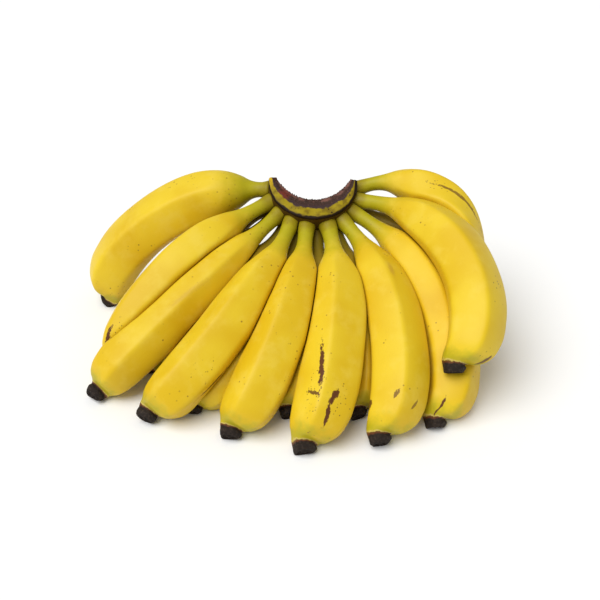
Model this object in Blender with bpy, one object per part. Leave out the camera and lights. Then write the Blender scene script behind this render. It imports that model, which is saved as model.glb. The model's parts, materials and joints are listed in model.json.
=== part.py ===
"""A hand of bananas as cut from its stalk: seventeen fingers in two rows on one crown.

The hand lies on its fingertips with the backs of the fingers up and the crown raised behind them.
Metres and degrees, +Z up, -Y to the front. Headings turn from -Y towards +X, slopes point down.
"""
import math
from collections import namedtuple

import bmesh
import bpy
import numpy as np

PRESS_GAP = 0.0020          # between fingers that press flat against each other
CROWN_GAP = 0.0004          # between a finger's root and the rim of the crown
TABLE = 0.0045              # height of the surface that the lowest tips rest flat on

# The crown is a crescent of stalk wall. Its plan has three arcs, each given by half its chord and
# its depth below the line of the two horns; heights are measured from its upper face.
HORN_LINE = (0.0102, 0.096, 0.113)
CROWN_LEAN = 24.0           # the upper face leans forward
CROWN_TILT = 3.0            # and to the right
RIM_ARC = (0.0342, 0.0388)
CREST_ARC = (0.0312, 0.0264)
CUT_ARC = (0.0296, 0.0162)
RIM_ROUND = 0.002
CUT_FALL = 0.0075
CROWN_THICKNESS = 0.028
CROWN_STATIONS = 25

# Each finger is a tube carried along a bending line. Its root sits on the rim at an angle from
# the front, and its line turns evenly from the first heading and slope to those of its tip.
OUTER_DROP = 0.0125         # roots of the outer row, below the upper face
INNER_DROP = 0.0225
Finger = namedtuple("Finger", "name station drop heading slope tip_heading tip_slope length girth neck roll")
FINGERS = (
    Finger("outer_finger_01", -90, OUTER_DROP, -100, 2, -56, 74, 0.182, 0.041, 1.2, 10),
    Finger("outer_finger_02", -70, OUTER_DROP, -54, 6, -36, 54, 0.183, 0.038, 0.0, -6),
    Finger("outer_finger_03", -48, OUTER_DROP, -42, 15, -56, 35, 0.196, 0.037, 0.0, -8),
    Finger("outer_finger_04", -28, OUTER_DROP, -17, 15, -62, 36, 0.190, 0.039, 0.0, -12),
    Finger("outer_finger_05", -8, OUTER_DROP, -3, 15, -40, 39, 0.178, 0.039, 0.0, -14),
    Finger("outer_finger_06", 20, OUTER_DROP, 11, 15, -27, 37, 0.185, 0.041, 0.0, -10),
    Finger("outer_finger_07", 40, OUTER_DROP, 36, 15, -28, 37, 0.190, 0.039, 0.0, -8),
    Finger("outer_finger_08", 58, OUTER_DROP, 62, 16, -36, 38, 0.200, 0.038, 0.0, -14),
    Finger("outer_finger_09", 76, OUTER_DROP, 72, -8, -46, 46, 0.199, 0.039, 0.0, -12),
    Finger("outer_finger_10", 95, OUTER_DROP, 104, -20, -72, 90, 0.164, 0.037, 0.0, 12),
    Finger("inner_finger_01", -74, INNER_DROP, -68, 18, -44, 48, 0.148, 0.034, 0.0, 8),
    Finger("inner_finger_02", -58, INNER_DROP, -50, 20, -42, 39, 0.156, 0.034, 0.0, -9),
    Finger("inner_finger_03", -36, INNER_DROP, -34, 20, -50, 37, 0.150, 0.034, 0.0, 14),
    Finger("inner_finger_04", -17, INNER_DROP, -16, 20, -48, 32, 0.165, 0.034, 0.0, -4),
    Finger("inner_finger_05", 6, INNER_DROP, 5, 20, -24, 34, 0.150, 0.034, 0.0, 11),
    Finger("inner_finger_06", 31, INNER_DROP, 22, 20, -12, 34, 0.155, 0.034, 0.0, -7),
    Finger("inner_finger_07", 74, INNER_DROP, 82, 16, 52, 52, 0.147, 0.034, 0.0, 5),
)

# Share of the length, and radius as a share of half the girth: pedicel, shoulder, body, blossom end
PROFILE = (
    (0.000, 0.37), (0.030, 0.32), (0.100, 0.30), (0.150, 0.37), (0.210, 0.57), (0.300, 0.83),
    (0.420, 0.97), (0.600, 1.00), (0.790, 0.99), (0.870, 0.92), (0.915, 0.80), (0.945, 0.62),
    (0.962, 0.46), (0.972, 0.38), (0.988, 0.38), (1.000, 0.33),
)
WIDEST = 0.60
TIP_LEAN = 0.80             # how far the narrowing tip keeps to the hollow side of its finger
RIDGES = 5
RIDGE_HEIGHT = 0.030
RIDGE_ENDS = (0.16, 0.30)   # the ridges rise between these shares of the length
TIP_HOOK = 0.16             # share of the bend kept for the tip
TIP_START = 0.84
LINE_STEPS = 240            # steps of the bending line
SAMPLES = 60                # balls that stand for a finger where its neighbours press on it
SIDES = 15
CAD_STATIONS = (
    0.0, 0.05, 0.10, 0.15, 0.20, 0.25, 0.30, 0.36, 0.43, 0.50, 0.57, 0.64, 0.71, 0.78, 0.84,
    0.89, 0.93, 0.96, 0.982, 1.0,
)

YELLOW = (0.87, 0.62, 0.05, 1.0)
SHADED_YELLOW = (0.72, 0.50, 0.04, 1.0)
CROWN_BROWN = (0.36, 0.30, 0.06, 1.0)


def unit(vectors):
    """Vectors scaled to length one."""
    return vectors / np.linalg.norm(vectors, axis=-1, keepdims=True)


def direction(heading, slope):
    """Unit vectors of a heading and a downward slope, in degrees."""
    heading = np.radians(heading)
    slope = np.radians(slope)
    across = np.cos(slope) * np.sin(heading)
    along = -np.cos(slope) * np.cos(heading)
    return np.stack([across, along, -np.sin(slope)], axis=-1)


def smooth_step(values, low, high):
    """0 below low, 1 above high, and a cubic ease between them."""
    share = np.clip((values - low) / (high - low), 0.0, 1.0)
    return share * share * (3.0 - 2.0 * share)


def crown_axes():
    """The crown's own right, back and up directions."""
    lean = math.radians(CROWN_LEAN)
    tilt = math.radians(CROWN_TILT)
    up = unit(np.array([math.tan(tilt), -math.tan(lean), 1.0]))
    back = unit(np.cross(up, [1.0, 0.0, 0.0]))
    return np.cross(back, up), back, up


def arc_circle(arc):
    """Radius of an arc, how far its centre is behind its lowest point, and its half angle."""
    half_chord, depth = arc
    radius = (half_chord ** 2 + depth ** 2) / (2.0 * depth)
    return radius, depth - radius, math.atan2(half_chord, radius - depth)


def arc_point(arc, angle, height):
    """World points on an arc of the crown, at angles from its front and heights from its face."""
    right, back, up = crown_axes()
    radius, fall, _ = arc_circle(arc)
    across = radius * np.sin(angle)
    along = -fall - radius * np.cos(angle)
    plan = across[..., None] * right + along[..., None] * back
    return np.array(HORN_LINE) + plan + np.asarray(height)[..., None] * up


def crown_rings():
    """The crescent's sections from horn to horn: rim, crest, cut edge and the foot of each wall."""
    share = np.linspace(-1.0, 1.0, CROWN_STATIONS)
    belly = 1.0 - share ** 2
    zero = np.zeros_like(share)
    floor = zero - CROWN_THICKNESS
    heights = (
        (RIM_ARC, floor), (RIM_ARC, zero - RIM_ROUND), (CREST_ARC, zero),
        (CUT_ARC, -CUT_FALL * belly), (CUT_ARC, floor),
    )
    corners = [arc_point(arc, share * arc_circle(arc)[2], height) for arc, height in heights]
    return np.stack(corners, axis=1)


def profile_radius(share, neck):
    """Radius share along a finger: a cubic Hermite curve through PROFILE.

    The neck value makes the pedicel shorter and the shoulder start earlier.
    """
    knots, radii = np.array(PROFILE).T
    share = share + neck * share * (1.0 - share) ** 3
    slopes = np.gradient(radii, knots)
    index = np.clip(np.searchsorted(knots, share, side="right") - 1, 0, len(knots) - 2)
    width = knots[index + 1] - knots[index]
    t = (share - knots[index]) / width
    start = (1.0 + 2.0 * t) * (1.0 - t) ** 2 * radii[index] + t * (1.0 - t) ** 2 * width * slopes[index]
    end = t * t * (3.0 - 2.0 * t) * radii[index + 1] - t * t * (1.0 - t) * width * slopes[index + 1]
    return start + end


def bending_line(finger, share):
    """Points and tangents of a finger's line: its direction summed along its length."""
    steps = np.linspace(0.0, 1.0, LINE_STEPS + 1)
    turn = (1.0 - TIP_HOOK) * steps + TIP_HOOK * smooth_step(steps, TIP_START, 1.0)
    heading = finger.heading + (finger.tip_heading - finger.heading) * turn
    slope = finger.slope + (finger.tip_slope - finger.slope) * turn
    tangent = direction(heading, slope)
    walk = np.cumsum((tangent[1:] + tangent[:-1]) / 2.0, axis=0) * finger.length / LINE_STEPS
    root = arc_point(RIM_ARC, np.radians(finger.station), -finger.drop)
    points = root + np.vstack([np.zeros(3), walk])
    at = [np.interp(share, steps, column) for column in points.T]
    along = [np.interp(share, steps, column) for column in tangent.T]
    return np.stack(at, axis=-1), unit(np.stack(along, axis=-1))


def finger_sections(finger, share):
    """Centre, tangent, back and side directions and radius of each section of a finger.

    Back and side are square to the line and level with its bend. Past the widest place the
    centres keep to the hollow side, so the back of the finger rounds over to its tip.
    """
    points, tangent = bending_line(finger, share)
    first = direction(finger.heading, finger.slope)
    last = direction(finger.tip_heading, finger.tip_slope)
    hinge = unit(np.cross(last, first))
    side = unit(hinge - (tangent @ hinge)[:, None] * tangent)
    back = np.cross(side, tangent)
    radius = profile_radius(share, finger.neck) * finger.girth / 2.0
    lean = TIP_LEAN * (finger.girth / 2.0 - radius) * (share > WIDEST)
    return points - lean[:, None] * back, tangent, back, side, radius


def finger_balls():
    """Centres and radii of the balls that stand for every finger."""
    share = np.linspace(0.0, 1.0, SAMPLES)
    sections = [finger_sections(finger, share) for finger in FINGERS]
    return [(centres, radius) for centres, _, _, _, radius in sections]


def outside(points, balls):
    """Distance of points from the nearest ball's surface, negative inside."""
    centres, radii = balls
    flat = points.reshape(-1, 3)
    gaps = np.linalg.norm(flat[:, None, :] - centres[None, :, :], axis=-1) - radii
    return gaps.min(axis=1).reshape(points.shape[:-1])


def pressed_reach(index, centres, rays, reach, balls):
    """How far each ray may go before it is nearer a neighbour than its own finger, or the table."""
    low = np.zeros_like(reach)
    high = reach.copy()
    middle = np.array(balls[index][0]).mean(axis=0)
    span = FINGERS[index].length
    near = [
        other for k, other in enumerate(balls)
        if k != index and np.linalg.norm(other[0] - middle, axis=1).min() < 0.5 * span + 0.04
    ]
    for _ in range(12):
        trial = (low + high) / 2.0
        points = centres[:, None, :] + trial[..., None] * rays
        own = outside(points, balls[index])
        others = np.min([outside(points, other) for other in near], axis=0)
        clear = (own < others - PRESS_GAP) & (points[..., 2] > TABLE)
        low = np.where(clear, trial, low)
        high = np.where(clear, high, trial)
    points = centres[:, None, :] + reach[..., None] * rays
    own = outside(points, balls[index])
    others = np.min([outside(points, other) for other in near], axis=0)
    free = (own < others - PRESS_GAP) & (points[..., 2] > TABLE)
    return np.where(free, reach, low)


def seat_on_rim(ring, tangent):
    """A finger's first ring slid along its line until it lies on the crown's rim."""
    right, back, _ = crown_axes()
    radius, fall, _ = arc_circle(RIM_ARC)
    axis_point = np.array(HORN_LINE) - fall * back
    across = (ring - axis_point) @ right
    along = (ring - axis_point) @ back
    run = np.array([tangent @ right, tangent @ back])
    a = run @ run
    b = across * run[0] + along * run[1]
    c = across ** 2 + along ** 2 - (radius + CROWN_GAP) ** 2
    return ring + ((-b + np.sqrt(b * b - a * c)) / a)[:, None] * tangent


def finger_rings(index, share, sides, balls):
    """Sections of a finger: five soft ridges on a round tube, flattened where it is pressed."""
    finger = FINGERS[index]
    centres, tangent, back, side, radius = finger_sections(finger, share)
    turn = np.linspace(0.0, 2.0 * math.pi, sides, endpoint=False) + math.radians(finger.roll)
    rays = np.cos(turn)[None, :, None] * back[:, None, :] + np.sin(turn)[None, :, None] * side[:, None, :]
    ridge = np.cos(RIDGES * (turn - math.radians(finger.roll)))[None, :]
    rise = smooth_step(share, *RIDGE_ENDS)[:, None]
    reach = radius[:, None] * (1.0 + RIDGE_HEIGHT * rise * ridge)
    reach = pressed_reach(index, centres, rays, reach, balls)
    rings = centres[:, None, :] + reach[..., None] * rays
    rings[0] = seat_on_rim(rings[0], tangent[0])
    return rings


def add_solid(name, rings, colour, offset):
    """One closed object: rings joined by quads, with a fan over each end."""
    count, sides, _ = rings.shape
    points = np.vstack([rings.reshape(-1, 3), rings[0].mean(axis=0), rings[-1].mean(axis=0)]) + offset
    corner = np.arange(count * sides).reshape(count, sides)
    following = np.roll(corner, -1, axis=1)
    quads = np.stack([corner[:-1], following[:-1], following[1:], corner[1:]], axis=-1).reshape(-1, 4)
    first, last = count * sides, count * sides + 1
    ends = [(first, b, a) for a, b in zip(corner[0], following[0])]
    ends += [(last, a, b) for a, b in zip(corner[-1], following[-1])]
    mesh = bpy.data.meshes.new(name)
    mesh.from_pydata(points.tolist(), [], quads.tolist() + [tuple(map(int, face)) for face in ends])
    shape = bmesh.new()
    shape.from_mesh(mesh)
    bmesh.ops.recalc_face_normals(shape, faces=shape.faces)
    bmesh.ops.triangulate(shape, faces=shape.faces)
    shape.to_mesh(mesh)
    shape.free()
    mesh.shade_smooth()
    mesh.materials.append(skin_material(name, colour))
    solid = bpy.data.objects.new(name, mesh)
    bpy.context.scene.collection.objects.link(solid)


def skin_material(name, colour):
    """A plain peel or crown colour."""
    material = bpy.data.materials.new(name)
    material.use_nodes = True
    shader = material.node_tree.nodes["Principled BSDF"]
    shader.inputs["Base Color"].default_value = colour
    shader.inputs["Roughness"].default_value = 0.55
    shader.inputs["Metallic"].default_value = 0.0
    return material


def hand_rings():
    """The sections of every piece, by name."""
    balls = finger_balls()
    share = np.array(CAD_STATIONS)
    rings = {"crown": crown_rings()}
    for index, finger in enumerate(FINGERS):
        rings[finger.name] = finger_rings(index, share, SIDES, balls)
    return rings


def standing_offset(rings):
    """The move that puts the middle of the hand's foot on the origin."""
    points = np.vstack([ring.reshape(-1, 3) for ring in rings.values()])
    low, high = points.min(axis=0), points.max(axis=0)
    return -np.array([(low[0] + high[0]) / 2.0, (low[1] + high[1]) / 2.0, low[2]])


def piece_colour(name):
    """The crown is brown, the inner row lies in shade, the outer row is bright."""
    if name == "crown":
        return CROWN_BROWN
    return SHADED_YELLOW if name.startswith("inner") else YELLOW


def main():
    for old in list(bpy.data.objects):
        bpy.data.objects.remove(old, do_unlink=True)
    rings = hand_rings()
    offset = standing_offset(rings)
    for name, sections in rings.items():
        add_solid(name, sections, piece_colour(name), offset)


main()
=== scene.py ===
"""Looks for a hand of ripe bananas: peels, blossom ends and the cut crown, on a pale floor.

Metres and degrees, +Z up, -Y to the front. Headings turn from -Y towards +X, slopes point down.
"""
import json
import math
from collections import namedtuple

import bpy
import numpy as np
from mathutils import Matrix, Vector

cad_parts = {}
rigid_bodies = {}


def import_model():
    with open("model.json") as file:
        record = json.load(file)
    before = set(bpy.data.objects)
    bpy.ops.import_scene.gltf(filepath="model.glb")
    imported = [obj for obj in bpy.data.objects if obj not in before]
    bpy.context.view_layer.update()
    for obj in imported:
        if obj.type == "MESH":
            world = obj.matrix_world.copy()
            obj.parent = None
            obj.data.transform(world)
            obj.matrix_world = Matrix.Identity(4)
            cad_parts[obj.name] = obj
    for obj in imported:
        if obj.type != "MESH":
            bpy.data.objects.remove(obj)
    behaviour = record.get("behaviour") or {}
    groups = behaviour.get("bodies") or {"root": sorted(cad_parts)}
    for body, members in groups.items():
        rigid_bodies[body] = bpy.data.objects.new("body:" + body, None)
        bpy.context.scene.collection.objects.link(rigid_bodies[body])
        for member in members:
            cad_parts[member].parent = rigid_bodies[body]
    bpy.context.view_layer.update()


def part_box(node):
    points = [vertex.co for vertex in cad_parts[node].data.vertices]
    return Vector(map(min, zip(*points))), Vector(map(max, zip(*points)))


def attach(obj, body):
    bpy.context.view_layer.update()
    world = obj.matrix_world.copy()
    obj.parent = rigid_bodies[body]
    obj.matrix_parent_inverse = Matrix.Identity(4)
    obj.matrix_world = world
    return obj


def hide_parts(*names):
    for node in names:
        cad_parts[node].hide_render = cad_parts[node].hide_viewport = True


bl_info = {
    "name": "Banana Hand",
    "version": (1, 0, 0),
    "blender": (4, 5, 0),
    "location": "View3D > Sidebar > Bananas",
    "description": "Builds the peels, the crown and the studio for a hand of bananas",
    "category": "Object",
}

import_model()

# ---------------------------------------------------------------- the hand's layout

PRESS_GAP = 0.0008          # between fingers that press flat against each other
TABLE = 0.0045              # height of the surface that the lowest tips rest flat on

# The crown is a crescent of stalk wall. Its plan has three arcs, each given by half its chord and
# its depth below the line of the two horns; heights are measured from its upper face.
HORN_LINE = (0.0102, 0.096, 0.113)
CROWN_LEAN = 24.0           # the upper face leans forward
CROWN_TILT = 3.0            # and to the right
RIM_ARC = (0.0342, 0.0388)
CREST_ARC = (0.0312, 0.0264)
CUT_ARC = (0.0296, 0.0162)
RIM_ROUND = 0.002
CUT_FALL = 0.0075
CROWN_THICKNESS = 0.028

OUTER_DROP = 0.0125         # roots of the outer row, below the upper face
INNER_DROP = 0.0225

# Each finger is a tube carried along a bending line. Its root sits on the rim at an angle from
# the front, and its line turns evenly from the first heading and slope to those of its tip.
Finger = namedtuple(
    "Finger", "name station drop heading slope tip_heading tip_slope length girth neck roll"
)
FINGERS = (
    Finger("outer_finger_01", -90, OUTER_DROP, -100, 2, -56, 74, 0.182, 0.041, 1.2, 10),
    Finger("outer_finger_02", -70, OUTER_DROP, -54, 6, -36, 54, 0.183, 0.038, 0.0, -6),
    Finger("outer_finger_03", -48, OUTER_DROP, -42, 15, -56, 35, 0.196, 0.037, 0.0, -8),
    Finger("outer_finger_04", -28, OUTER_DROP, -17, 15, -62, 36, 0.190, 0.039, 0.0, -12),
    Finger("outer_finger_05", -8, OUTER_DROP, -3, 15, -40, 39, 0.178, 0.039, 0.0, -14),
    Finger("outer_finger_06", 20, OUTER_DROP, 11, 15, -27, 37, 0.185, 0.041, 0.0, -10),
    Finger("outer_finger_07", 40, OUTER_DROP, 36, 15, -28, 37, 0.190, 0.039, 0.0, -8),
    Finger("outer_finger_08", 58, OUTER_DROP, 62, 16, -36, 38, 0.200, 0.038, 0.0, -14),
    Finger("outer_finger_09", 76, OUTER_DROP, 72, -8, -46, 46, 0.199, 0.039, 0.0, -12),
    Finger("outer_finger_10", 95, OUTER_DROP, 104, -20, -72, 90, 0.164, 0.037, 0.0, 12),
    Finger("inner_finger_01", -74, INNER_DROP, -68, 18, -44, 48, 0.148, 0.034, 0.0, 8),
    Finger("inner_finger_02", -58, INNER_DROP, -50, 20, -42, 39, 0.156, 0.034, 0.0, -9),
    Finger("inner_finger_03", -36, INNER_DROP, -34, 20, -50, 37, 0.150, 0.034, 0.0, 14),
    Finger("inner_finger_04", -17, INNER_DROP, -16, 20, -48, 32, 0.165, 0.034, 0.0, -4),
    Finger("inner_finger_05", 6, INNER_DROP, 5, 20, -24, 34, 0.150, 0.034, 0.0, 11),
    Finger("inner_finger_06", 31, INNER_DROP, 22, 20, -12, 34, 0.155, 0.034, 0.0, -7),
    Finger("inner_finger_07", 74, INNER_DROP, 82, 16, 52, 52, 0.147, 0.034, 0.0, 5),
)

# Share of the length, and radius as a share of half the girth: pedicel, shoulder, body, blossom end
PROFILE = (
    (0.000, 0.37), (0.030, 0.32), (0.100, 0.30), (0.150, 0.37), (0.210, 0.57), (0.300, 0.83),
    (0.420, 0.97), (0.600, 1.00), (0.790, 0.99), (0.870, 0.92), (0.915, 0.80), (0.945, 0.62),
    (0.962, 0.46), (0.972, 0.38), (0.988, 0.38), (1.000, 0.33),
)
WIDEST = 0.60
TIP_LEAN = 0.80             # how far the narrowing tip keeps to the hollow side of its finger
RIDGES = 5
RIDGE_SOFTNESS = 4.5        # degrees over which a ridge is rounded
RIDGE_MEAN = 0.3            # average of the five-sided section, taken off to keep the girth
RIDGE_ENDS = (0.16, 0.30)   # the ridges rise between these shares of the length
RIDGE_FADE = (0.93, 0.97)   # and fade between these
TIP_HOOK = 0.16             # share of the bend kept for the tip
TIP_START = 0.84
LINE_STEPS = 240            # steps of the bending line
SAMPLES = 60                # balls that stand for a finger where its neighbours press on it
NEIGHBOUR_RANGE = 0.04      # fingers farther off, past half a length, don't press
HALVINGS = 12
REACH_SMOOTHING = 3

SWELL_START = (0.03, 0.25)  # slow swells grow and fade between these shares of the length
SWELL_FADE = (0.90, 0.95)
RIM_START = (0.955, 0.968)  # where the blossom end's uneven rim begins
RIM_FIVE = 0.045            # heights of its five- and three-sided waves and its crumple, as
RIM_THREE = 0.040           # shares of the radius
RIM_CRUMPLE = 0.05
CRUMPLE_SEED = 100

SKIN_RINGS = 150            # rings along a finger, before the blossom end
CAP_RINGS = 34              # closer rings over the blossom end
CAP_START = 0.93
SKIN_SIDES = 80
ROOT_TUCK = 0.0015          # how far a pedicel runs into the crown
# The blossom end's face: radius as a share of the last ring's, and how far it stands out
CAP_FACE = (
    (0.90, 0.0005), (0.78, 0.0004), (0.68, -0.0006), (0.40, -0.0009), (0.24, -0.0003), (0.12, 0.0004),
)
FACE_STEP = 0.002           # share added by each of its rings
# The blossom end faces outwards: it turns by an angle in degrees between two shares of the length
CAP_TURN_ENDS = (0.945, 0.985)
CAP_TURN = 32.0
BOX_SLACK = 0.006           # how far a piece may stand past the box of its CAD node

CROWN_STATIONS = 220        # rings from horn to horn
CROWN_SECTION = 150         # points round each ring
HORN_ROUND = 0.045          # share of the half length over which each horn rounds off
HORN_BLUNT = 0.96           # 1 would bring each horn to a point
FACE_SEED, FIBRE_SEED, COARSE_SEED, TOOTH_SEED, CREST_SEED = 7, 8, 9, 10, 11
COARSE_SHARE = 0.7          # coarse fibres, against the fine ones
CREST_RAGGED = 0.0007
NECK_BULGE = 0.0004         # the outer wall swells between the roots of the fingers
NECK_WAVES = 4.9            # swells from the front to each horn
NECK_PHASE = 0.1


def unit(vectors):
    """Vectors scaled to length one."""
    return vectors / np.linalg.norm(vectors, axis=-1, keepdims=True)


def direction(heading, slope):
    """Unit vectors of a heading and a downward slope, in degrees."""
    heading = np.radians(heading)
    slope = np.radians(slope)
    across = np.cos(slope) * np.sin(heading)
    along = -np.cos(slope) * np.cos(heading)
    return np.stack([across, along, -np.sin(slope)], axis=-1)


def smooth_step(values, low, high):
    """0 below low, 1 above high, and a cubic ease between them."""
    share = np.clip((values - low) / (high - low), 0.0, 1.0)
    return share * share * (3.0 - 2.0 * share)


def waves(seed, *axes, count=6, cycles=3.0):
    """A smooth random surface from -1 to 1: a mean of cosines whose directions come from a seed."""
    rng = np.random.default_rng(seed)
    total = 0.0
    for _ in range(count):
        phase = rng.uniform(0.0, 2.0 * math.pi)
        for axis in axes:
            phase = phase + rng.uniform(-cycles, cycles) * axis
        total = total + np.cos(phase)
    return total / count


# ---------------------------------------------------------------- the fingers' shape


def crown_axes():
    """The crown's own right, back and up directions."""
    lean = math.radians(CROWN_LEAN)
    tilt = math.radians(CROWN_TILT)
    up = unit(np.array([math.tan(tilt), -math.tan(lean), 1.0]))
    back = unit(np.cross(up, [1.0, 0.0, 0.0]))
    return np.cross(back, up), back, up


def arc_circle(arc):
    """Radius of an arc, how far its centre is behind its lowest point, and its half angle."""
    half_chord, depth = arc
    radius = (half_chord ** 2 + depth ** 2) / (2.0 * depth)
    return radius, depth - radius, math.atan2(half_chord, radius - depth)


def arc_point(arc, angle, height):
    """Points on an arc of the crown, at angles from its front and heights from its face."""
    right, back, up = crown_axes()
    radius, fall, _ = arc_circle(arc)
    across = radius * np.sin(angle)
    along = -fall - radius * np.cos(angle)
    plan = across[..., None] * right + along[..., None] * back
    return np.array(HORN_LINE) + plan + np.asarray(height)[..., None] * up


def profile_radius(share, neck):
    """Radius share along a finger: a cubic Hermite curve through PROFILE."""
    knots, radii = np.array(PROFILE).T
    share = share + neck * share * (1.0 - share) ** 3
    slopes = np.gradient(radii, knots)
    index = np.clip(np.searchsorted(knots, share, side="right") - 1, 0, len(knots) - 2)
    width = knots[index + 1] - knots[index]
    t = (share - knots[index]) / width
    start = (1.0 + 2.0 * t) * (1.0 - t) ** 2 * radii[index] + t * (1.0 - t) ** 2 * width * slopes[index]
    end = t * t * (3.0 - 2.0 * t) * radii[index + 1] - t * t * (1.0 - t) * width * slopes[index + 1]
    return start + end


def bending_line(finger, share):
    """Points and tangents of a finger's line: its direction summed along its length."""
    steps = np.linspace(0.0, 1.0, LINE_STEPS + 1)
    turn = (1.0 - TIP_HOOK) * steps + TIP_HOOK * smooth_step(steps, TIP_START, 1.0)
    heading = finger.heading + (finger.tip_heading - finger.heading) * turn
    slope = finger.slope + (finger.tip_slope - finger.slope) * turn
    tangent = direction(heading, slope)
    walk = np.cumsum((tangent[1:] + tangent[:-1]) / 2.0, axis=0) * finger.length / LINE_STEPS
    root = arc_point(RIM_ARC, np.radians(finger.station), -finger.drop)
    points = root + np.vstack([np.zeros(3), walk])
    at = [np.interp(share, steps, column) for column in points.T]
    along = [np.interp(share, steps, column) for column in tangent.T]
    return np.stack(at, axis=-1), unit(np.stack(along, axis=-1))


def finger_sections(finger, share):
    """Centre, tangent, back and side directions and radius of each section of a finger."""
    points, tangent = bending_line(finger, share)
    first = direction(finger.heading, finger.slope)
    last = direction(finger.tip_heading, finger.tip_slope)
    hinge = unit(np.cross(last, first))
    side = unit(hinge - (tangent @ hinge)[:, None] * tangent)
    back = np.cross(side, tangent)
    radius = profile_radius(share, finger.neck) * finger.girth / 2.0
    lean = TIP_LEAN * (finger.girth / 2.0 - radius) * (share > WIDEST)
    return points - lean[:, None] * back, tangent, back, side, radius


def finger_balls():
    """Centres and radii of the balls that stand for every finger."""
    share = np.linspace(0.0, 1.0, SAMPLES)
    sections = [finger_sections(finger, share) for finger in FINGERS]
    return [(centres, radius) for centres, _, _, _, radius in sections]


def outside(points, balls):
    """Distance of points from the nearest ball's surface, negative inside."""
    centres, radii = balls
    gaps = np.sqrt(((points[:, None, :] - centres[None, :, :]) ** 2).sum(axis=-1)) - radii
    return gaps.min(axis=1)


def pressed_reach(index, centres, rays, reach, balls):
    """How far each ray may go before it is nearer a neighbour than its own finger, or the table.

    Only rays that are cut short are halved towards their limit. The result is eased over its
    neighbours on the grid, so that a pressed face rounds into the free skin.
    """
    starts = np.broadcast_to(centres[:, None, :], rays.shape).reshape(-1, 3)
    heads = rays.reshape(-1, 3)
    full = reach.ravel()
    middle = balls[index][0].mean(axis=0)
    span = 0.5 * FINGERS[index].length + NEIGHBOUR_RANGE
    near = [
        other for k, other in enumerate(balls)
        if k != index and np.linalg.norm(other[0] - middle, axis=1).min() < span
    ]

    def clear(rows, trial):
        points = starts[rows] + trial[:, None] * heads[rows]
        own = outside(points, balls[index])
        others = np.min([outside(points, other) for other in near], axis=0)
        return (own < others - PRESS_GAP) & (points[:, 2] > TABLE)

    every = np.arange(len(full))
    cut = every[~clear(every, full)]
    low, high = np.zeros(len(cut)), full[cut]
    for _ in range(HALVINGS):
        trial = (low + high) / 2.0
        free = clear(cut, trial)
        low = np.where(free, trial, low)
        high = np.where(free, high, trial)
    result = full.copy()
    result[cut] = low
    share = (result / full).reshape(reach.shape)
    for _ in range(REACH_SMOOTHING):
        around = (np.roll(share, 1, axis=1) + np.roll(share, -1, axis=1)) / 2.0
        padded = np.vstack([share[:1], share, share[-1:]])
        along = (padded[:-2] + padded[2:]) / 2.0
        share = np.minimum(0.5 * share + 0.25 * around + 0.25 * along, 1.0)
    return share * reach


def ridge_height(turn):
    """A five-sided section with softened corners: how far a flat face is inside its corners' circle.

    The angle from the nearest corner is eased by RIDGE_SOFTNESS, and a regular polygon's radius is
    taken there, as a share of the fall from a corner to the middle of a face.
    """
    half = math.pi / RIDGES
    away = np.arccos(np.clip(np.cos(RIDGES * turn), -1.0, 1.0)) / RIDGES
    away = np.hypot(away, math.radians(RIDGE_SOFTNESS))
    return (math.cos(half) / np.cos(half - away) - math.cos(half)) / (1.0 - math.cos(half)) - RIDGE_MEAN


def finger_shares():
    """Ring places along a finger: even over the body, closer over the blossom end."""
    body = np.linspace(0.0, CAP_START, SKIN_RINGS, endpoint=False)
    return np.concatenate([body, np.linspace(CAP_START, 1.0, CAP_RINGS)])


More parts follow.
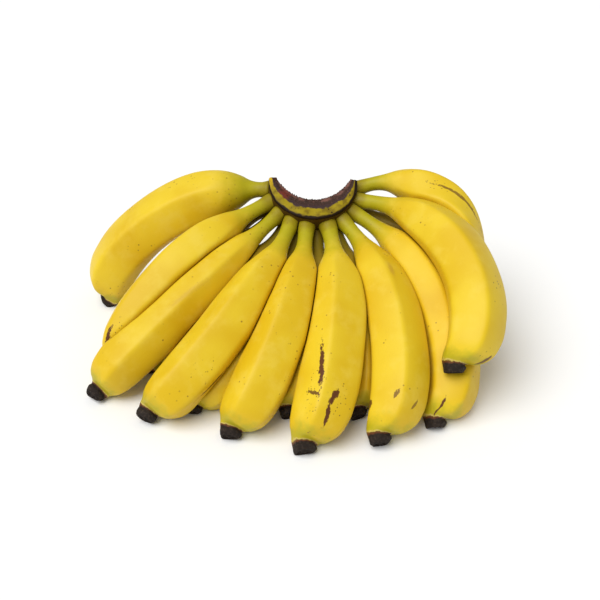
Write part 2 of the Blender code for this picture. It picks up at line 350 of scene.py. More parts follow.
def finger_grid(index, balls, shape):
    """A finger's rings, and the share of its length at every ring.

    A round tube along the bending line, whose radius is the profile with five soft ridges, slow
    swells and an uneven rim at the blossom end. It is flattened where it is pressed.
    The rings past the start of CAP_TURN_ENDS are turned about the side direction, so that the end's
    face looks out, and whatever would then be under the table lies flat on it.
    """
    finger = FINGERS[index]
    share = finger_shares()
    centres, tangent, back, side, radius = finger_sections(finger, share)
    turn = np.linspace(math.pi, 3.0 * math.pi, SKIN_SIDES, endpoint=False)
    rays = np.cos(turn)[None, :, None] * back[:, None, :] + np.sin(turn)[None, :, None] * side[:, None, :]
    rise = (smooth_step(share, *RIDGE_ENDS) * (1.0 - smooth_step(share, *RIDGE_FADE)))[:, None]
    ridge = ridge_height(turn - math.radians(finger.roll))[None, :]
    along = share[:, None]
    across, upright = np.cos(turn)[None, :], np.sin(turn)[None, :]
    swell = waves(index, along * 2.0, across, upright, cycles=2.2) * smooth_step(along, *SWELL_START)
    swell = swell * (1.0 - smooth_step(along, *SWELL_FADE))
    facets = RIM_FIVE * np.cos(5.0 * turn + index) + RIM_THREE * np.cos(3.0 * turn + 2.0 * index)
    seed = CRUMPLE_SEED + index
    crumple = waves(seed, along * 40.0, across * 3.0, upright * 3.0, count=9, cycles=2.5) * RIM_CRUMPLE
    rim = smooth_step(along, *RIM_START) * (facets[None, :] + crumple)
    reach = radius[:, None] * (1.0 + shape.ridge_height * rise * ridge + shape.swell * swell + rim)
    reach = pressed_reach(index, centres, rays, reach, balls)
    rings = centres[:, None, :] + reach[..., None] * rays
    rings[0] -= ROOT_TUCK * tangent[0]
    face = []
    last = rings[-1]
    for shrink, height in CAP_FACE:
        face.append(centres[-1] + (last - centres[-1]) * shrink + height * tangent[-1])
    rings = np.concatenate([rings, np.array(face)])
    share = np.concatenate([share, 1.0 + FACE_STEP * np.arange(1, len(CAP_FACE) + 1)])
    pivot = np.searchsorted(share, CAP_TURN_ENDS[0])
    angle = np.radians(CAP_TURN * smooth_step(share, *CAP_TURN_ENDS))[:, None, None]
    arm = rings - centres[pivot]
    axis = side[pivot]
    level = (arm @ axis)[..., None] * axis
    turned = level + (arm - level) * np.cos(angle) + np.cross(axis, arm) * np.sin(angle)
    rings = centres[pivot] + turned
    rings[..., 2] = np.maximum(rings[..., 2], TABLE)
    return rings, share


def tube_mesh(name, rings, share, shift):
    """A closed tube mesh with a UV map: u goes round, v is the share of the length.

    Neighbouring rings are joined by quads, and a fan of triangles closes each end.
    """
    count, sides, _ = rings.shape
    points = np.vstack([rings.reshape(-1, 3), rings[0].mean(axis=0), rings[-1].mean(axis=0)]) + shift
    corner = np.arange(count * sides).reshape(count, sides)
    following = np.roll(corner, -1, axis=1)
    quads = np.stack([corner[:-1], following[:-1], following[1:], corner[1:]], axis=-1).reshape(-1, 4)
    first, last = count * sides, count * sides + 1
    start = np.stack([np.full(sides, first), following[0], corner[0]], axis=-1)
    end = np.stack([np.full(sides, last), corner[-1], following[-1]], axis=-1)
    loops = np.concatenate([quads.ravel(), start.ravel(), end.ravel()])
    sizes = np.concatenate([np.full(len(quads), 4), np.full(2 * sides, 3)])
    mesh = bpy.data.meshes.new(name)
    mesh.vertices.add(len(points))
    mesh.vertices.foreach_set("co", points.astype(np.float32).ravel())
    mesh.loops.add(len(loops))
    mesh.loops.foreach_set("vertex_index", loops.astype(np.int32))
    mesh.polygons.add(len(sizes))
    starts = np.concatenate([[0], np.cumsum(sizes)[:-1]])
    mesh.polygons.foreach_set("loop_start", starts.astype(np.int32))
    u = np.arange(sides) / sides
    step = 1.0 / sides
    u_quads = np.tile(np.stack([u, u + step, u + step, u], axis=-1), (count - 1, 1))
    v_quads = np.repeat(np.stack([share[:-1], share[:-1], share[1:], share[1:]], axis=-1), sides, axis=0)
    u_start = np.stack([u + step / 2, u + step, u], axis=-1)
    u_end = np.stack([u + step / 2, u, u + step], axis=-1)
    u_all = np.concatenate([u_quads.ravel(), u_start.ravel(), u_end.ravel()])
    v_all = np.concatenate([v_quads.ravel(), np.full(3 * sides, share[0]), np.full(3 * sides, share[-1])])
    layer = mesh.uv_layers.new(name="skin")
    layer.data.foreach_set("uv", np.stack([u_all, v_all], axis=-1).astype(np.float32).ravel())
    mesh.update(calc_edges=True)
    mesh.validate()
    mesh.shade_smooth()
    return mesh


def signed_volume(mesh):
    """Volume inside a mesh: positive when its faces point out."""
    mesh.calc_loop_triangles()
    corners = np.empty(3 * len(mesh.loop_triangles), dtype=np.int32)
    mesh.loop_triangles.foreach_get("vertices", corners)
    points = np.empty(3 * len(mesh.vertices), dtype=np.float32)
    mesh.vertices.foreach_get("co", points)
    a, b, c = points.reshape(-1, 3)[corners.reshape(-1, 3)].transpose(1, 0, 2)
    return float((a * np.cross(b, c)).sum() / 6.0)


def show(name, mesh, material, node):
    """Links a finished piece that stands for a CAD node and rides on the body."""
    if signed_volume(mesh) < 0.0:
        mesh.flip_normals()
    piece = bpy.data.objects.new(name, mesh)
    bpy.context.scene.collection.objects.link(piece)
    mesh.materials.append(material)
    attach(piece, "root")
    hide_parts(node)
    return piece


def check_against_box(piece, node):
    """Stops the build if a piece has left the box of the CAD node that it stands for."""
    points = np.empty(3 * len(piece.data.vertices), dtype=np.float32)
    piece.data.vertices.foreach_get("co", points)
    points = points.reshape(-1, 3)
    low, high = (np.array(corner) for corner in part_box(node))
    if (points.min(axis=0) < low - BOX_SLACK).any() or (points.max(axis=0) > high + BOX_SLACK).any():
        raise RuntimeError(f"{piece.name} leaves the box of {node}")


# ---------------------------------------------------------------- the crown's shape


def crown_plan(arcs, share, height):
    """Points between the crown's arcs: 0 is the rim, 1 the crest and 2 the edge of the cut."""
    rim, crest, cut = [
        arc_point(arc, share * arc_circle(arc)[2], height) for arc in (RIM_ARC, CREST_ARC, CUT_ARC)
    ]
    outer = np.clip(arcs, 0.0, 1.0)[..., None]
    inner = np.clip(arcs - 1.0, 0.0, 1.0)[..., None]
    return rim + outer * (crest - rim) + inner * (cut - crest)


def crown_shift():
    """How far the layout moves to stand where the frame's crown is."""
    share = np.linspace(-1.0, 1.0, 25)
    belly = 1.0 - share ** 2
    zero = np.zeros_like(share)
    floor = zero - CROWN_THICKNESS
    corners = [
        arc_point(arc, share * arc_circle(arc)[2], height)
        for arc, height in (
            (RIM_ARC, floor), (RIM_ARC, zero - RIM_ROUND), (CREST_ARC, zero),
            (CUT_ARC, -CUT_FALL * belly), (CUT_ARC, floor),
        )
    ]
    points = np.concatenate(corners)
    return np.array(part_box("crown")[0]) - points.min(axis=0)


# Control points of the crown's section, as arc place, height over the thickness and a band number.
# Bands under 2 are the outer wall and the rim, 2 to 3 the face, 3 to 4 the cut, past 4 the inner wall.
SECTION = (
    (0.00, -1.00, 0.4), (0.00, -0.60, 0.8), (-0.03, -0.30, 1.2), (-0.05, -0.12, 1.7),
    (0.00, -0.05, 2.0), (0.14, -0.015, 2.1), (0.50, 0.00, 2.5), (0.90, 0.00, 2.9),
    (1.00, -0.012, 3.0), (1.20, -0.12, 3.2), (1.60, -0.60, 3.6), (1.90, -0.96, 3.9),
    (2.00, -1.10, 4.0), (2.00, -1.60, 4.3), (2.00, -3.00, 4.9),
)
SECTION_WEIGHTS = (3.0, 2.0)    # arc places and heights count this much when points are shared out


def rounded(points, passes):
    """An open line with its corners cut: each pass keeps a quarter and three quarters of each step."""
    for _ in range(passes):
        near = 0.75 * points[:-1] + 0.25 * points[1:]
        far = 0.25 * points[:-1] + 0.75 * points[1:]
        middle = np.stack([near, far], axis=1).reshape(-1, points.shape[1])
        points = np.vstack([points[:1], middle, points[-1:]])
    return points


def crown_relief(shape, u, v):
    """Height added over the crown: u runs from horn to horn, v is the band.

    Low lumps on the face, fibres on the cut, teeth along the cut's edge, which are the crests of
    one wave, and a ragged crest. Each fades away from its own band.
    """
    on_face = smooth_step(v, 1.6, 2.2) * (1.0 - smooth_step(v, 2.9, 3.05))
    on_cut = smooth_step(v, 2.95, 3.1)
    lumps = waves(FACE_SEED, u * 9.0, v * 2.0, count=9, cycles=2.4)
    fibre = waves(FIBRE_SEED, u * 46.0, v * 1.2, count=14, cycles=2.6)
    coarse = waves(COARSE_SEED, u * 14.0, v * 2.0, count=8, cycles=2.4)
    teeth = np.clip(waves(TOOTH_SEED, u * 70.0, count=12, cycles=2.2) + 0.15, 0.0, None)
    ragged = waves(CREST_SEED, u * 30.0, count=9, cycles=2.4)
    edge = np.exp(-((v - 3.95) / 0.10) ** 2)
    crest = np.exp(-((v - 3.0) / 0.07) ** 2)
    relief = shape.face_lumps * on_face * lumps
    relief = relief + shape.fibre_depth * on_cut * (fibre + COARSE_SHARE * coarse)
    relief = relief + shape.tooth_height * edge * teeth
    return relief + CREST_RAGGED * crest * ragged


def crown_grid(shape):
    """The crescent's rings from horn to horn, with a band number for each place in the section.

    The section goes up the outer wall, over the face to the crest, down the fibrous cut and down
    the inner wall. Heights past the crest are shares of the cut's fall, which fades at the horns.
    """
    line = rounded(np.array(SECTION), 2)
    strides = np.linalg.norm(np.diff(line[:, :2] * SECTION_WEIGHTS, axis=0), axis=1)
    steps = np.concatenate([[0.0], np.cumsum(strides)])
    places = np.linspace(0.0, steps[-1], CROWN_SECTION)
    arcs, drop, band = [np.interp(places, steps, column) for column in line.T]
    share = np.linspace(-1.0, 1.0, CROWN_STATIONS)
    belly = (1.0 - share ** 2)[:, None]
    past = np.clip(band - 3.0, 0.0, None)[None, :]
    outer_height = drop[None, :] * CROWN_THICKNESS
    fall = -CUT_FALL * belly
    wall_height = fall + (-CROWN_THICKNESS - fall) * (past - 1.0) / 0.9
    cut_height = np.where(past <= 1.0, fall * past ** 0.85, wall_height)
    height = np.where(band[None, :] < 3.0, outer_height, cut_height)
    height = np.maximum(height, -CROWN_THICKNESS)
    u = share[:, None]
    v = band[None, :]
    height = height + crown_relief(shape, u, v)
    points = crown_plan(np.broadcast_to(arcs, height.shape), np.broadcast_to(u, height.shape), height)
    middle = points.mean(axis=1, keepdims=True)
    end = np.clip((np.abs(share) - 1.0 + HORN_ROUND) / HORN_ROUND, 0.0, 1.0)[:, None, None]
    points = middle + (points - middle) * np.sqrt(1.0 - HORN_BLUNT * end ** 2)
    swells = np.cos(2.0 * math.pi * (u * NECK_WAVES + NECK_PHASE))
    bulge = NECK_BULGE * np.exp(-((v - 1.2) / 0.5) ** 2) * swells
    right, back, up = crown_axes()
    outward = points - (np.array(HORN_LINE) - arc_circle(RIM_ARC)[1] * back)
    outward = unit(outward - (outward @ up)[..., None] * up)
    points = points + bulge[..., None] * outward
    return points, share, band


def crown_mesh(name, points, share, band, shift):
    """A closed mesh of the crescent: rings closed round the section, and a fan at each horn."""
    mesh = tube_mesh(name, points, (share + 1.0) / 2.0, shift)
    values = np.concatenate([np.tile(band, len(share)), [2.5, 2.5]]).astype(np.float32)
    mesh.attributes.new("band", "FLOAT", "POINT").data.foreach_set("value", values)
    return mesh


# ---------------------------------------------------------------- materials


class Shader:
    """A material's node tree with short ways to add nodes."""

    def __init__(self, name):
        self.material = bpy.data.materials.new(name)
        self.material.use_nodes = True
        self.tree = self.material.node_tree
        self.surface = self.tree.nodes["Principled BSDF"]

    def put(self, kind, values=None, **settings):
        """A node with settings, whose inputs are given a value or a link."""
        node = self.tree.nodes.new(kind)
        for key, value in settings.items():
            setattr(node, key, value)
        for key, value in (values or {}).items():
            self.set(node.inputs[key], value)
        return node

    def set(self, socket, value):
        """Links an output to an input, or gives the input a value."""
        if isinstance(value, bpy.types.NodeSocket):
            self.tree.links.new(value, socket)
        else:
            socket.default_value = value

    def math(self, operation, *values, clamp=False):
        """The result of a Math node."""
        node = self.put("ShaderNodeMath", dict(enumerate(values)), operation=operation, use_clamp=clamp)
        return node.outputs[0]

    def ramp(self, value, low, high):
        """0 at low and 1 at high, eased; low may be the greater."""
        node = self.put(
            "ShaderNodeMapRange", {"Value": value, "From Min": low, "From Max": high},
            interpolation_type="SMOOTHSTEP",
        )
        return node.outputs[0]

    def noise(self, vector, scale, detail=2.0, roughness=0.5):
        """A noise value round one half."""
        node = self.put("ShaderNodeTexNoise", {
            "Vector": vector, "Scale": scale, "Detail": detail, "Roughness": roughness,
        })
        return node.outputs[0]

    def mix(self, factor, first, second):
        """A colour between two."""
        node = self.put("ShaderNodeMix", data_type="RGBA")
        self.set(node.inputs["Factor"], factor)
        self.set(node.inputs[6], first)
        self.set(node.inputs[7], second)
        return node.outputs[2]

    def place(self, vector, location=(0, 0, 0), turn=0.0, scale=(1, 1, 1)):
        """A vector moved, turned about Z and scaled."""
        node = self.put("ShaderNodeMapping", {
            "Vector": vector, "Location": location, "Scale": scale,
            "Rotation": (0.0, 0.0, math.radians(turn)),
        })
        return node.outputs[0]


def colour(values):
    """Three numbers as a colour."""
    return (values[0], values[1], values[2], 1.0)


# A mark on the skin: finger, angle from the back, share of the length, half width and half length
# in millimetres, turn in degrees, strength, and whether it is a streak, a bruise, a scuff or specks
Mark = namedtuple("Mark", "finger angle share width length turn strength kind")
MARKS = (
    Mark("outer_finger_06", 72, 0.71, 1.9, 18.0, -8, 1.0, "streak"),
    Mark("outer_finger_06", 78, 0.81, 6.0, 1.5, 10, 0.9, "streak"),
    Mark("outer_finger_06", 37, 0.81, 2.6, 6.0, 20, 1.0, "bruise"),
    Mark("outer_finger_06", 38, 0.87, 1.9, 7.5, -14, 1.0, "bruise"),
    Mark("outer_finger_06", 15, 0.81, 9.0, 14.0, 0, 0.9, "specks"),
    Mark("outer_finger_06", 75, 0.79, 8.0, 22.0, 0, 0.8, "specks"),
    Mark("outer_finger_07", 140, 0.88, 4.0, 5.0, 20, 0.9, "bruise"),
    Mark("outer_finger_07", 76, 0.84, 1.5, 3.6, 25, 0.8, "streak"),
    Mark("outer_finger_07", 30, 0.86, 1.2, 4.0, 30, 0.7, "streak"),
    Mark("outer_finger_07", 50, 0.35, 3.5, 9.0, 10, 0.7, "scuff"),
    Mark("outer_finger_04", -30, 0.74, 1.4, 15.0, 4, 0.9, "streak"),
    Mark("outer_finger_04", 12, 0.73, 8.0, 14.0, 0, 0.7, "specks"),
    Mark("outer_finger_03", -5, 0.50, 3.0, 24.0, 8, 0.45, "scuff"),
    Mark("outer_finger_02", -16, 0.87, 1.7, 8.0, 0, 1.0, "streak"),
    Mark("outer_finger_02", -30, 0.84, 7.0, 12.0, 0, 0.8, "specks"),
    Mark("outer_finger_08", 98, 0.935, 1.3, 8.0, -6, 1.0, "streak"),
    Mark("outer_finger_08", 70, 0.70, 1.0, 3.0, 20, 0.6, "streak"),
    Mark("outer_finger_09", 4, 0.93, 2.4, 5.0, 12, 0.9, "bruise"),
    Mark("outer_finger_09", 30, 0.91, 5.0, 7.0, 0, 0.8, "specks"),
    Mark("outer_finger_10", 38, 0.49, 1.8, 20.0, -6, 0.75, "streak"),
    Mark("outer_finger_10", 46, 0.40, 6.0, 12.0, 0, 0.7, "specks"),
    Mark("outer_finger_05", -20, 0.78, 7.0, 14.0, 0, 0.5, "specks"),
    Mark("outer_finger_01", 20, 0.60, 3.0, 14.0, 10, 0.35, "scuff"),
    Mark("inner_finger_03", 20, 0.80, 2.6, 12.0, 5, 0.8, "bruise"),
    Mark("inner_finger_06", -30, 0.60, 2.0, 9.0, 5, 0.7, "bruise"),
    Mark("inner_finger_07", 90, 0.55, 2.4, 8.0, 12, 0.7, "bruise"),
)


# For each kind of mark: how ragged its edge is, the scale of that raggedness per millimetre, and
# how far in from its edge it reaches full strength
Edge = namedtuple("Edge", "ragged scale full")
MARK_EDGES = {
    "streak": Edge(3.0, 0.55, 0.72),
    "bruise": Edge(2.2, 0.45, 0.72),
    "specks": Edge(0.6, 1.6, 0.72),
    "scuff": Edge(1.6, 1.2, 0.2),
}
# Shares of the length between which the skin changes, from none to full
NECK_SPAN = (0.24, 0.07)
ROOT_SPAN = (0.075, 0.010)
# Shares over which painted shade darkens the inner row's necks, which lie in shadow behind the outer row
NECK_SHADE_SPAN = (0.50, 0.26)
TIP_GREEN_SPAN = (0.905, 0.960)
SHOULDER_SPANS = ((0.05, 0.12), (0.26, 0.16))
CREAM_SPAN = (0.9625, 0.9650)
RUST_SPAN = (0.966, 0.969)
DARK_SPAN = (0.970, 0.975)


def skin_lengths(finger):
    """A finger's girth round its skin and its length, in millimetres."""
    return math.pi * finger.girth * 1000.0, finger.length * 1000.0


def mark_amount(skin, place, mark, finger):
    """How strongly a mark shows at each place: 1 inside a ragged oval, falling off at its edge."""
    round_mm, long_mm = skin_lengths(finger)
    edge = MARK_EDGES[mark.kind]
    u = ((mark.angle / 360.0) + 0.5) % 1.0
    centred = skin.place(place, location=(-u * round_mm, -mark.share * long_mm, 0.0))
    turned = skin.place(centred, turn=mark.turn)
    scaled = skin.place(turned, scale=(1.0 / mark.width, 1.0 / mark.length, 0.0))
    reach = skin.put("ShaderNodeVectorMath", {0: scaled}, operation="LENGTH").outputs["Value"]
    ragged = skin.noise(skin.place(place, scale=(1.0, 0.45, 1.0)), edge.scale, 4.0, 0.7)
    inside = skin.math("MULTIPLY_ADD", skin.math("SUBTRACT", ragged, 0.5), edge.ragged, reach)
    amount = skin.ramp(inside, 1.0, edge.full)
    if mark.kind == "specks":
        dots = skin.put("ShaderNodeTexVoronoi", {"Vector": place, "Scale": 0.42}).outputs["Distance"]
        size = skin.math("MULTIPLY_ADD", skin.math("SUBTRACT", ragged, 0.5), 0.5, dots)
        amount = skin.math("MULTIPLY", amount, skin.ramp(size, 0.22, 0.12))
    return skin.math("MULTIPLY", amount, mark.strength)


def peel_material(finger, tone):
    """Ripe peel: yellow, with fine long fibres, freckles, green ends and a dark tip."""
    skin = Shader("peel_" + finger.name)
    uv = skin.put("ShaderNodeUVMap", uv_map="skin").outputs[0]
    place = skin.place(uv, scale=(*skin_lengths(finger), 0.0))
    share = skin.put("ShaderNodeSeparateXYZ", {0: uv}).outputs[1]
    solid = skin.put("ShaderNodeTexCoord").outputs["Object"]
    seed = float(sum(map(ord, finger.name)) % 17)
    own = skin.place(solid, location=(seed, seed * 0.7, 0.0))

    # Ripe skin
    broad = skin.noise(own, 22.0, 2.0)
    patch = skin.noise(own, 70.0, 3.0, 0.6)
    fibres = skin.noise(skin.place(place, scale=(1.6, 0.05, 1.0)), 1.0, 3.0, 0.6)
    flecks = skin.noise(own, 900.0, 2.0, 0.6)
    base = skin.mix(skin.ramp(broad, 0.35, 0.65), colour(tone.yellow), colour(tone.deep))
    base = skin.mix(skin.math("MULTIPLY", skin.ramp(patch, 0.45, 0.75), 0.35), base, colour(tone.pale))
    base = skin.mix(skin.math("MULTIPLY", skin.ramp(fibres, 0.52, 0.80), 0.16), base, colour(tone.fibre))
    base = skin.mix(skin.math("MULTIPLY", skin.ramp(flecks, 0.58, 0.75), 0.12), base, colour(tone.fibre))

    # Necks, roots, painted shade on the inner row's necks, and green tips
    neck_noise = skin.math("MULTIPLY_ADD", skin.math("SUBTRACT", patch, 0.5), 0.12, share)
    neck = skin.ramp(neck_noise, *NECK_SPAN)
    base = skin.mix(skin.math("MULTIPLY", neck, tone.neck_green), base, colour(tone.green))
    root = skin.ramp(neck_noise, *ROOT_SPAN)
    base = skin.mix(skin.math("MULTIPLY", root, 0.6), base, colour(tone.root))
    # Painted shade: the inner row's necks lie in shadow between the outer row's necks, so they are
    # darkened towards a dark brown
    if finger.name.startswith("inner"):
        neck_shade = skin.math("MULTIPLY", skin.ramp(neck_noise, *NECK_SHADE_SPAN), 0.8)
        base = skin.mix(neck_shade, base, colour(tone.matte_and_painted_shade))
    near_tip = skin.math("MULTIPLY", skin.ramp(neck_noise, *TIP_GREEN_SPAN), tone.tip_green)
    base = skin.mix(near_tip, base, colour(tone.green))

    # Freckles, crowded at the shoulder, and marks
    dots = skin.put("ShaderNodeTexVoronoi", {"Vector": own, "Scale": 230.0, "Randomness": 1.0})
    sparse = skin.ramp(skin.noise(own, 45.0, 2.0), 0.56, 0.68)
    shoulder = skin.math("MULTIPLY", *(skin.ramp(share, *span) for span in SHOULDER_SPANS))
    crowded = skin.math("MULTIPLY", shoulder, skin.ramp(patch, 0.42, 0.55))
    common = skin.math("MAXIMUM", sparse, crowded)
    freckle = skin.math("MULTIPLY", skin.ramp(dots.outputs["Distance"], 0.20, 0.09), common)
    base = skin.mix(skin.math("MULTIPLY", freckle, 0.75), base, colour(tone.freckle))

    for mark in MARKS:
        if mark.finger == finger.name:
            stain = tone.scuff if mark.kind == "scuff" else tone.bruise
            base = skin.mix(mark_amount(skin, place, mark, finger), base, colour(stain))

    # Blossom end
    wobble = skin.noise(own, 330.0, 3.0, 0.6)
    edge = skin.math("MULTIPLY_ADD", skin.math("SUBTRACT", wobble, 0.5), 0.012, share)
    cream = skin.math("MULTIPLY", skin.ramp(edge, *CREAM_SPAN), 0.6)
    base = skin.mix(cream, base, colour(tone.cream))
    rust = skin.ramp(edge, *RUST_SPAN)
    base = skin.mix(rust, base, colour(tone.rust))
    dark = skin.ramp(edge, *DARK_SPAN)
    dusty = skin.ramp(skin.noise(own, 520.0, 4.0, 0.7), 0.45, 0.75)
    base = skin.mix(dark, base, skin.mix(dusty, colour(tone.tip), colour(tone.tip_dust)))
    skin.set(skin.surface.inputs["Base Color"], base)

    # Gloss and relief
    matte_and_painted_shade = skin.math("MULTIPLY_ADD", patch, 0.22, 0.36)
    matte_and_painted_shade = skin.math("ADD", matte_and_painted_shade, skin.math("MULTIPLY", dark, 0.35), clamp=True)
    skin.set(skin.surface.inputs["Roughness"], matte_and_painted_shade)
    skin.surface.inputs["Specular IOR Level"].default_value = 0.26
    height = skin.math("MULTIPLY", fibres, 0.35)
    height = skin.math("MULTIPLY_ADD", flecks, 0.22, height)
    height = skin.math("MULTIPLY_ADD", patch, 0.9, height)
    crust = skin.math("MULTIPLY", skin.noise(own, 700.0, 4.0, 0.75), dark)
    height = skin.math("MULTIPLY_ADD", crust, 2.5, height)
    bump = skin.put("ShaderNodeBump", {"Strength": 0.35, "Distance": 0.0005, "Height": height})
    skin.set(skin.surface.inputs["Normal"], bump.outputs[0])
    return skin.material


def crown_material(tone):
    """Stalk skin on the wall and face, a dark scar line at the rim, and a dry fibrous cut."""
    stalk = Shader("crown_stalk")
    band = stalk.put("ShaderNodeAttribute", attribute_name="band").outputs["Fac"]
    uv = stalk.put("ShaderNodeUVMap", uv_map="skin").outputs[0]
    along = stalk.put("ShaderNodeSeparateXYZ", {0: uv}).outputs[1]
    solid = stalk.put("ShaderNodeTexCoord").outputs["Object"]
    lumps = stalk.noise(solid, 160.0, 3.0, 0.6)
    fine = stalk.noise(solid, 700.0, 3.0, 0.65)
    face = stalk.mix(stalk.ramp(lumps, 0.38, 0.66), colour(tone.face), colour(tone.face_deep))
    left = stalk.math("MULTIPLY", stalk.ramp(along, 0.16, 0.0), 0.8)
    face = stalk.mix(left, face, colour(tone.face_left))
    specks = stalk.put("ShaderNodeTexVoronoi", {"Vector": solid, "Scale": 210.0}).outputs["Distance"]
    speck = stalk.math("MULTIPLY", stalk.ramp(specks, 0.20, 0.10), stalk.ramp(lumps, 0.50, 0.58))
    face = stalk.mix(speck, face, colour(tone.scar))
    wobble = stalk.math("MULTIPLY_ADD", stalk.math("SUBTRACT", lumps, 0.5), 0.32, band)
    wall = stalk.mix(stalk.ramp(wobble, 2.05, 1.85), face, colour(tone.wall))
    thick = stalk.math("MULTIPLY_ADD", stalk.ramp(along, 0.78, 0.99), -0.45, wobble)
    line = stalk.math("MULTIPLY", stalk.ramp(wobble, 1.70, 1.88), stalk.ramp(thick, 2.17, 2.07))
    skin = stalk.mix(line, wall, colour(tone.scar))
    threads = stalk.noise(stalk.place(uv, scale=(8.0, 300.0, 1.0)), 1.0, 4.0, 0.7)
    cut = stalk.mix(stalk.ramp(threads, 0.35, 0.68), colour(tone.cut), colour(tone.cut_dark))
    cut = stalk.mix(stalk.ramp(fine, 0.55, 0.78), cut, colour(tone.cut_pale))
    crest = stalk.math("MULTIPLY_ADD", stalk.math("SUBTRACT", lumps, 0.5), 0.5, band)
    on_cut = stalk.ramp(crest, 2.62, 2.74)
    low = stalk.math("MULTIPLY", stalk.ramp(crest, 3.05, 2.70), 0.75)
    cut = stalk.mix(low, cut, colour(tone.cut_edge))
    torn = stalk.math("MULTIPLY", stalk.ramp(crest, 3.25, 3.70), stalk.ramp(lumps, 0.42, 0.62))
    cut = stalk.mix(torn, cut, colour(tone.cut_pink))
    spot = stalk.math("MULTIPLY", stalk.ramp(along, 0.14, 0.20), stalk.ramp(along, 0.30, 0.24))
    spot = stalk.math("MULTIPLY", spot, stalk.ramp(threads, 0.40, 0.55))
    cut = stalk.mix(spot, cut, colour(tone.cut_red))
    lip = stalk.math("MULTIPLY", stalk.ramp(crest, 3.85, 4.0), stalk.ramp(crest, 4.3, 4.12))
    ring = stalk.mix(lip, cut, colour(tone.cut_edge))
    base = stalk.mix(on_cut, skin, ring)
    stalk.set(stalk.surface.inputs["Base Color"], base)
    stalk.set(stalk.surface.inputs["Roughness"], stalk.math("MULTIPLY_ADD", on_cut, 0.3, 0.5))
    stalk.surface.inputs["Specular IOR Level"].default_value = 0.12
    height = stalk.math("MULTIPLY", lumps, 0.6)
    height = stalk.math("MULTIPLY_ADD", stalk.math("MULTIPLY", threads, on_cut), 1.6, height)
    height = stalk.math("MULTIPLY_ADD", fine, 0.5, height)
    bump = stalk.put("ShaderNodeBump", {"Strength": 0.6, "Distance": 0.0006, "Height": height})
    stalk.set(stalk.surface.inputs["Normal"], bump.outputs[0])
    return stalk.material


# ---------------------------------------------------------------- settings


def tint(name, description, default):
    """A colour property."""
    return bpy.props.FloatVectorProperty(
        name=name, description=description, default=default, subtype="COLOR", size=3, min=0.0, max=1.0
    )


class BananaPeelSettings(bpy.types.PropertyGroup):
    """Shape and colours of the fingers."""

    ridge_height: bpy.props.FloatProperty(
        name="Ridge height", description="Height of the ridges as a share of the radius",
        default=0.17, min=0.0, max=0.3,
    )
    swell: bpy.props.FloatProperty(
        name="Swell", description="Slow unevenness as a share of the radius",
        default=0.035, min=0.0, max=0.1,
    )
    neck_green: bpy.props.FloatProperty(
        name="Neck green", description="How green the necks are",
        default=0.8, min=0.0, max=1.0, subtype="FACTOR",
    )
    tip_green: bpy.props.FloatProperty(
        name="Tip green", description="How green the skin is by the tip",
        default=0.7, min=0.0, max=1.0, subtype="FACTOR",
    )
    yellow: tint("Yellow", "Ripe skin", (0.76, 0.54, 0.020))
    deep: tint("Deep yellow", "Ripe skin in warmer patches", (0.69, 0.45, 0.008))
    pale: tint("Pale yellow", "Ripe skin in paler patches", (0.80, 0.61, 0.085))
    fibre: tint("Fibre", "Fine long lines in the skin", (0.62, 0.36, 0.015))
    green: tint("Green", "Skin of the necks and by the tips", (0.35, 0.335, 0.003))
    root: tint("Root", "Skin where a neck meets the crown", (0.20, 0.13, 0.004))
    matte_and_painted_shade: tint("Neck shade", "Painted shade on the inner row's necks", (0.16, 0.10, 0.006))
    # Painted shade laid on the inner row's necks, where the outer row shades them
    freckle: tint("Freckle", "Small specks", (0.22, 0.10, 0.012))
    bruise: tint("Bruise", "Streaks and bruises", (0.11, 0.035, 0.008))
    scuff: tint("Scuff", "Faint rubbed marks", (0.55, 0.33, 0.03))
    cream: tint("Cream", "Line where the skin meets the blossom end", (0.66, 0.50, 0.16))
    rust: tint("Rust", "Rim of the blossom end", (0.12, 0.035, 0.006))
    tip: tint("Tip", "Blossom end", (0.016, 0.010, 0.007))
    tip_dust: tint("Tip dust", "Dry skin on the blossom end", (0.055, 0.038, 0.028))


class BananaCrownSettings(bpy.types.PropertyGroup):
    """Shape and colours of the crown."""

    face_lumps: bpy.props.FloatProperty(
        name="Face lumps", description="Unevenness of the face",
        default=0.0009, unit="LENGTH", precision=4,
    )
    fibre_depth: bpy.props.FloatProperty(
        name="Fibre depth", description="Depth of the torn fibres",
        default=0.0009, unit="LENGTH", precision=4,
    )
    tooth_height: bpy.props.FloatProperty(
        name="Tooth height", description="Height of the torn edge",
        default=0.0024, unit="LENGTH", precision=4,
    )
    face: tint("Face", "Olive face", (0.34, 0.25, 0.006))
    face_deep: tint("Deep face", "Darker patches of the face", (0.19, 0.13, 0.006))
    face_left: tint("Bright end", "Ripe skin at the left horn", (0.72, 0.46, 0.015))
    wall: tint("Wall", "Outer wall between the necks", (0.085, 0.045, 0.006))
    scar: tint("Scar", "Dark line round the rim", (0.016, 0.007, 0.003))
    cut: tint("Cut", "Dry brown cut", (0.075, 0.038, 0.024))
    cut_dark: tint("Dark cut", "Dark fibres of the cut", (0.035, 0.020, 0.018))
    cut_pale: tint("Pale cut", "Pale fibres of the cut", (0.24, 0.11, 0.08))
    cut_pink: tint("Pink cut", "Torn edge of the cut", (0.22, 0.10, 0.075))
    cut_red: tint("Red cut", "Reddish spot on the cut", (0.22, 0.035, 0.020))
    cut_edge: tint("Cut edge", "Purple-grey edge of the cut", (0.055, 0.035, 0.040))


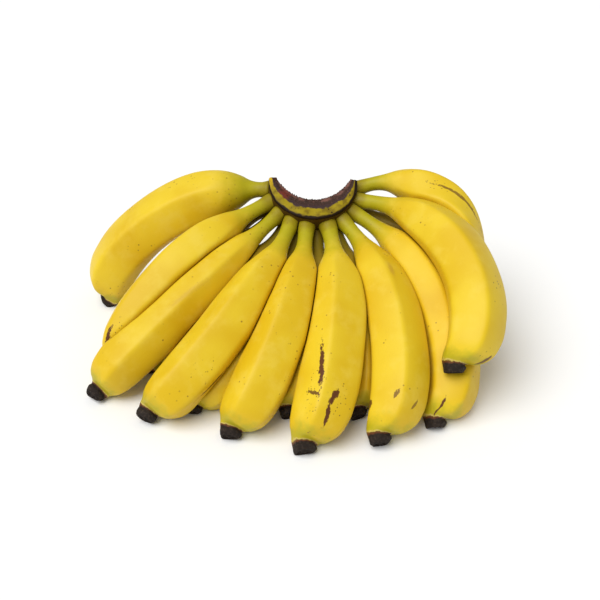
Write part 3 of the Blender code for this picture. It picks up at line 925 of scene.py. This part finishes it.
class BananaStageSettings(bpy.types.PropertyGroup):
    """Floor, light and camera."""

    floor_size: bpy.props.FloatProperty(
        name="Floor size", description="Side of the square floor", default=8.0, unit="LENGTH"
    )
    floor_colour: tint("Floor", "Pale floor", (0.93, 0.93, 0.92))
    sky: bpy.props.FloatProperty(name="Sky", description="Strength of the even white light", default=0.42)
    key_strength: bpy.props.FloatProperty(
        name="Key strength", description="Strength of the distant light at the upper left", default=2.6
    )
    key_spread: bpy.props.FloatProperty(
        name="Key spread", description="Angle that the distant light covers",
        default=math.radians(50.0), subtype="ANGLE",
    )
    elevation: bpy.props.FloatProperty(
        name="Elevation", description="How steeply the camera looks down",
        default=math.radians(36.0), subtype="ANGLE",
    )
    lens: bpy.props.FloatProperty(name="Lens", description="Focal length in millimetres", default=50.0)


# ---------------------------------------------------------------- operators

CAMERA_PLACE = (0.0, -0.4826, 0.4154)
KEY_TOWARDS = (-0.45, -0.35, 1.0)
_shared = {}


def shared_balls():
    """The fingers' balls, worked out once."""
    if "balls" not in _shared:
        _shared["balls"] = finger_balls()
    return _shared["balls"]


def build_row(prefix, settings):
    """Builds every finger of one row."""
    shift = crown_shift()
    for index, finger in enumerate(FINGERS):
        if finger.name.startswith(prefix):
            rings, share = finger_grid(index, shared_balls(), settings)
            name = finger.name.replace("finger", "banana")
            mesh = tube_mesh(name, rings, share, shift)
            piece = show(name, mesh, peel_material(finger, settings), finger.name)
            check_against_box(piece, finger.name)


class BANANA_OT_outer_row(bpy.types.Operator):
    """Build the ten fingers of the outer row."""

    bl_idname = "banana.outer_row"
    bl_label = "Outer Row"

    def execute(self, context):
        build_row("outer", context.scene.banana_peel)
        return {"FINISHED"}


class BANANA_OT_inner_row(bpy.types.Operator):
    """Build the seven fingers of the inner row."""

    bl_idname = "banana.inner_row"
    bl_label = "Inner Row"

    def execute(self, context):
        build_row("inner", context.scene.banana_peel)
        return {"FINISHED"}


class BANANA_OT_crown(bpy.types.Operator):
    """Build the crown that the fingers grow from."""

    bl_idname = "banana.crown"
    bl_label = "Crown"

    def execute(self, context):
        settings = context.scene.banana_crown
        points, share, band = crown_grid(settings)
        mesh = crown_mesh("banana_crown", points, share, band, crown_shift())
        piece = show("banana_crown", mesh, crown_material(settings), "crown")
        check_against_box(piece, "crown")
        return {"FINISHED"}


class BANANA_OT_stage(bpy.types.Operator):
    """Build the floor, the lights and the camera."""

    bl_idname = "banana.stage"
    bl_label = "Stage"

    def execute(self, context):
        settings = context.scene.banana_stage
        build_floor(settings)
        build_lights(context.scene, settings)
        build_camera(context.scene, settings)
        return {"FINISHED"}


def build_floor(settings):
    """A large pale square at the height that the tips rest on."""
    half = settings.floor_size / 2.0
    mesh = bpy.data.meshes.new("floor")
    corners = [(-half, -half, 0.0), (half, -half, 0.0), (half, half, 0.0), (-half, half, 0.0)]
    mesh.from_pydata(corners, [], [(0, 1, 2, 3)])
    floor = bpy.data.objects.new("floor", mesh)
    bpy.context.scene.collection.objects.link(floor)
    paint = Shader("floor_paint")
    paint.surface.inputs["Base Color"].default_value = colour(settings.floor_colour)
    paint.surface.inputs["Roughness"].default_value = 0.8
    mesh.materials.append(paint.material)


def add_far_light(scene, name, towards, spread, strength):
    """A distant light that lies in a direction and covers a wide angle, so its shadows are soft."""
    light = bpy.data.lights.new(name, "SUN")
    light.angle = spread
    light.energy = strength
    lamp = bpy.data.objects.new(name, light)
    facing = unit(np.array(towards))
    lamp.rotation_euler = (math.acos(facing[2]), 0.0, math.atan2(facing[1], facing[0]) + math.pi / 2.0)
    scene.collection.objects.link(lamp)


def build_lights(scene, settings):
    """An even white sky and a wide distant light from the upper left and front."""
    world = bpy.data.worlds.new("sky")
    world.use_nodes = True
    sky = world.node_tree.nodes["Background"]
    sky.inputs["Color"].default_value = (1.0, 1.0, 1.0, 1.0)
    sky.inputs["Strength"].default_value = settings.sky
    scene.world = world
    add_far_light(scene, "key", KEY_TOWARDS, settings.key_spread, settings.key_strength)


def build_camera(scene, settings):
    """A camera in front of the hand that looks down on it."""
    lens = bpy.data.cameras.new("camera")
    lens.lens = settings.lens
    camera = bpy.data.objects.new("camera", lens)
    camera.location = np.array(CAMERA_PLACE) + crown_shift()
    camera.rotation_euler = (math.pi / 2.0 - settings.elevation, 0.0, 0.0)
    scene.collection.objects.link(camera)
    scene.camera = camera
    scene.view_settings.view_transform = "Standard"


class BANANA_PT_hand(bpy.types.Panel):
    """Buttons and settings for the hand of bananas."""

    bl_idname = "BANANA_PT_hand"
    bl_label = "Banana Hand"
    bl_space_type = "VIEW_3D"
    bl_region_type = "UI"
    bl_category = "Bananas"

    def draw(self, context):
        for operator in ("banana.outer_row", "banana.inner_row", "banana.crown", "banana.stage"):
            self.layout.operator(operator)
        for group in (context.scene.banana_peel, context.scene.banana_crown, context.scene.banana_stage):
            box = self.layout.box()
            for name in group.bl_rna.properties.keys():
                if name not in ("rna_type", "name"):
                    box.prop(group, name)


CLASSES = (
    BananaPeelSettings,
    BananaCrownSettings,
    BananaStageSettings,
    BANANA_OT_outer_row,
    BANANA_OT_inner_row,
    BANANA_OT_crown,
    BANANA_OT_stage,
    BANANA_PT_hand,
)


def register():
    for cls in CLASSES:
        bpy.utils.register_class(cls)
    bpy.types.Scene.banana_peel = bpy.props.PointerProperty(type=BananaPeelSettings)
    bpy.types.Scene.banana_crown = bpy.props.PointerProperty(type=BananaCrownSettings)
    bpy.types.Scene.banana_stage = bpy.props.PointerProperty(type=BananaStageSettings)


def unregister():
    del bpy.types.Scene.banana_stage
    del bpy.types.Scene.banana_crown
    del bpy.types.Scene.banana_peel
    for cls in reversed(CLASSES):
        bpy.utils.unregister_class(cls)


def main():
    for item in list(bpy.data.objects):
        if item.name in ("Cube", "Light", "Camera"):
            bpy.data.objects.remove(item, do_unlink=True)
    register()
    bpy.ops.banana.outer_row()
    bpy.ops.banana.inner_row()
    bpy.ops.banana.crown()
    bpy.ops.banana.stage()


if __name__ == "__main__":
    main()
